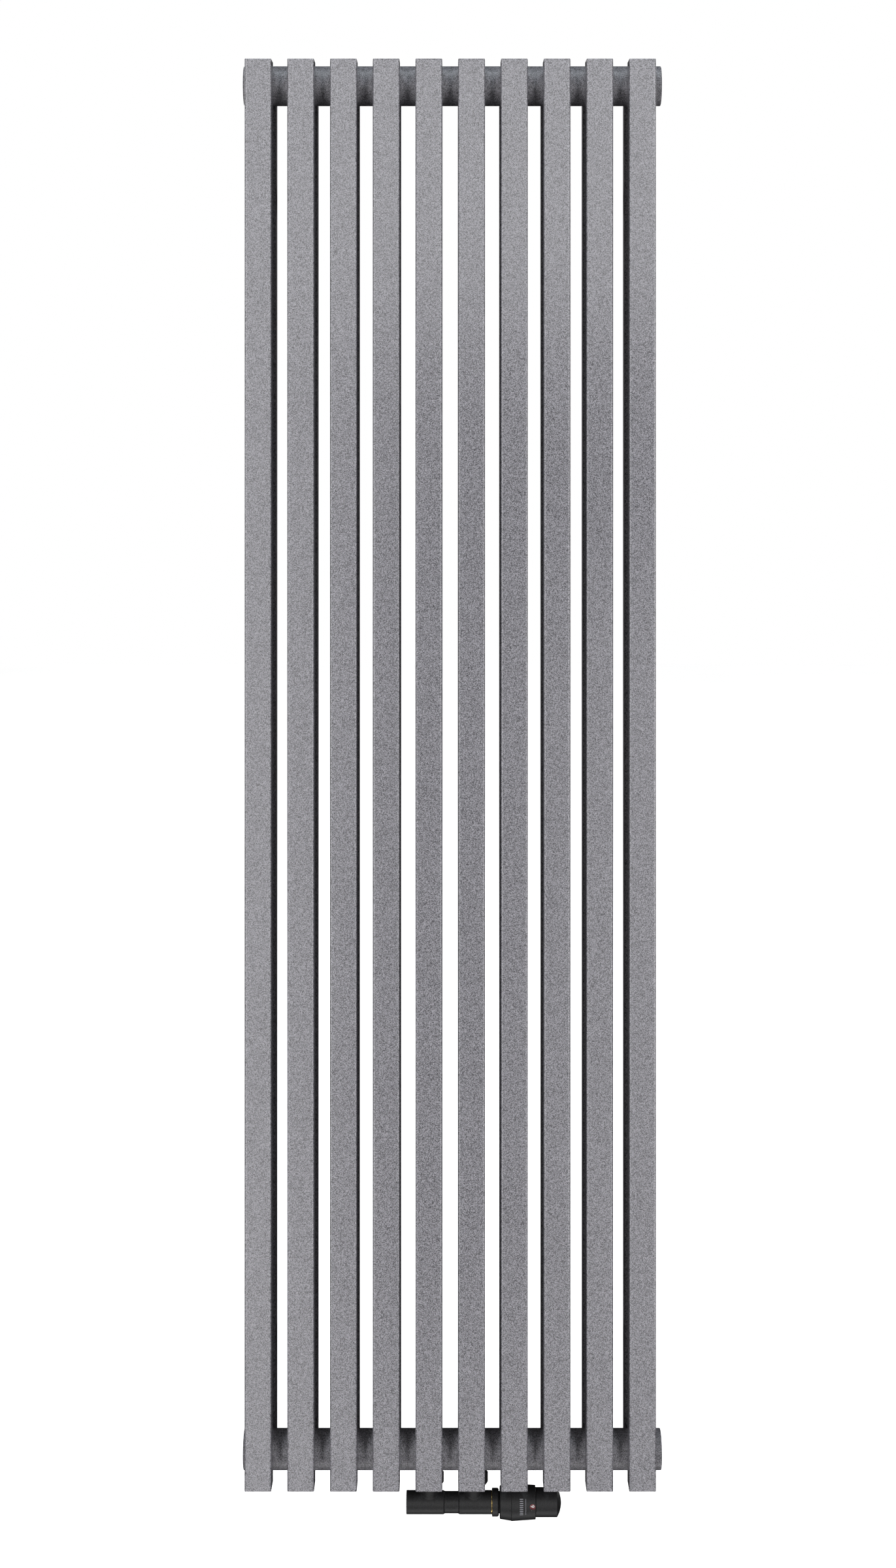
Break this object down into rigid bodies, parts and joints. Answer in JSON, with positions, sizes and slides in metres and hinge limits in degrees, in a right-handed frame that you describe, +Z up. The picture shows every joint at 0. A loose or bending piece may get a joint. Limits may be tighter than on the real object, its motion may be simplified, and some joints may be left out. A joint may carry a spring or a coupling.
{
  "type": "radiator with valve",
  "caption": "Tall wall radiator of square steel tubes in two rows on round collectors, with a cylindrical double valve below and a thermostatic head.",
  "frame": {"origin": "centre of the four wall fixings in the wall's plane, at the tubes' middle height", "axes": "+Z up along the tubes, -Y towards the room, +X to the right seen from the room"},
  "size_m": [0.4729, 0.1404, 1.6529],
  "materials": {
    "tube_paint": "fine structured powder coat, quartz grey metallic",
    "valve_paint": "matte black powder coat",
    "head_plastic": "matte black, finely grained",
    "drum_plastic": "satin red, with white numerals",
    "window": "clear glossy plastic",
    "brass": "turned",
    "steel": "zinc plated",
    "rubber": "smooth"
  },
  "bodies": {
    "brackets": {"wall_sleeves": "steel", "grub_screws": "steel"},
    "radiator": {"front_tube_1": "tube_paint", "front_tube_2": "tube_paint", "front_tube_3": "tube_paint", "front_tube_4": "tube_paint", "front_tube_5": "tube_paint", "front_tube_6": "tube_paint", "front_tube_7": "tube_paint", "front_tube_8": "tube_paint", "front_tube_9": "tube_paint", "front_tube_10": "tube_paint", "rear_tube_1": "tube_paint", "rear_tube_2": "tube_paint", "rear_tube_3": "tube_paint", "rear_tube_4": "tube_paint", "rear_tube_5": "tube_paint", "rear_tube_6": "tube_paint", "rear_tube_7": "tube_paint", "rear_tube_8": "tube_paint", "rear_tube_9": "tube_paint", "rear_tube_10": "tube_paint", "top_end_plates": "tube_paint", "bottom_end_plates": "tube_paint", "upper_collector": "tube_paint", "lower_collector": "tube_paint", "upper_weld_rings": "tube_paint", "lower_weld_rings": "tube_paint", "collector_blank_ends": "tube_paint", "collector_threaded_ends": "tube_paint", "valve_sockets": "tube_paint", "flow_divider": "steel", "vent_plug": "steel", "blind_plug": "steel", "plug_seals": "rubber", "bracket_spigots": "steel", "valve_body": "valve_paint", "union_nuts": "valve_paint", "tailpieces": "brass", "union_seals": "rubber", "thermostatic_insert": "brass", "stem_seal": "rubber", "lockshield_insert": "brass", "lockshield_cover": "valve_paint", "ring_nut": "valve_paint", "head_base": "head_plastic", "head_shell": "head_plastic", "setting_window": "window"},
    "bleed_screw": {"bleed_screw": "brass"},
    "handle": {"handle_cap": "head_plastic", "number_drum": "drum_plastic"},
    "valve_stem": {"valve_stem": "steel", "valve_disc": "rubber", "return_spring": "steel", "push_rod": "steel", "sensor_capsule": "steel"},
    "regulating_spindle": {"regulating_spindle": "steel"},
    "regulating_cone": {"regulating_cone": "brass"}
  },
  "joints": [
    {"name": "wall_distance", "type": "slide", "parent": "brackets", "child": "radiator", "axis": [0, 1, 0], "range_m": [-0.005, 0.005]},
    {"name": "bleed_turn", "type": "hinge", "parent": "radiator", "child": "bleed_screw", "pos_m": [0.2389, -0.0877, 0.776], "axis": [1, 0, 0], "range_deg": [0, 540]},
    {"name": "handle_turn", "type": "hinge", "parent": "radiator", "child": "handle", "pos_m": [0.11, -0.0877, -0.833], "axis": [1, 0, 0], "range_deg": [-300, 0]},
    {"name": "stem_travel", "type": "slide", "parent": "radiator", "child": "valve_stem", "axis": [1, 0, 0], "range_m": [-0.0022, 0]},
    {"name": "regulating_turn", "type": "hinge", "parent": "radiator", "child": "regulating_spindle", "pos_m": [-0.04, -0.0877, -0.833], "axis": [1, 0, 0], "range_deg": [0, 1080]},
    {"name": "cone_travel", "type": "slide", "parent": "radiator", "child": "regulating_cone", "axis": [1, 0, 0], "range_m": [0, 0.0022]}
  ],
  "couplings": [
    {"joint": "handle_turn", "follows": "stem_travel", "rad_per_m": 2380},
    {"joint": "regulating_turn", "follows": "cone_travel", "rad_per_m": 8567.9}
  ]
}
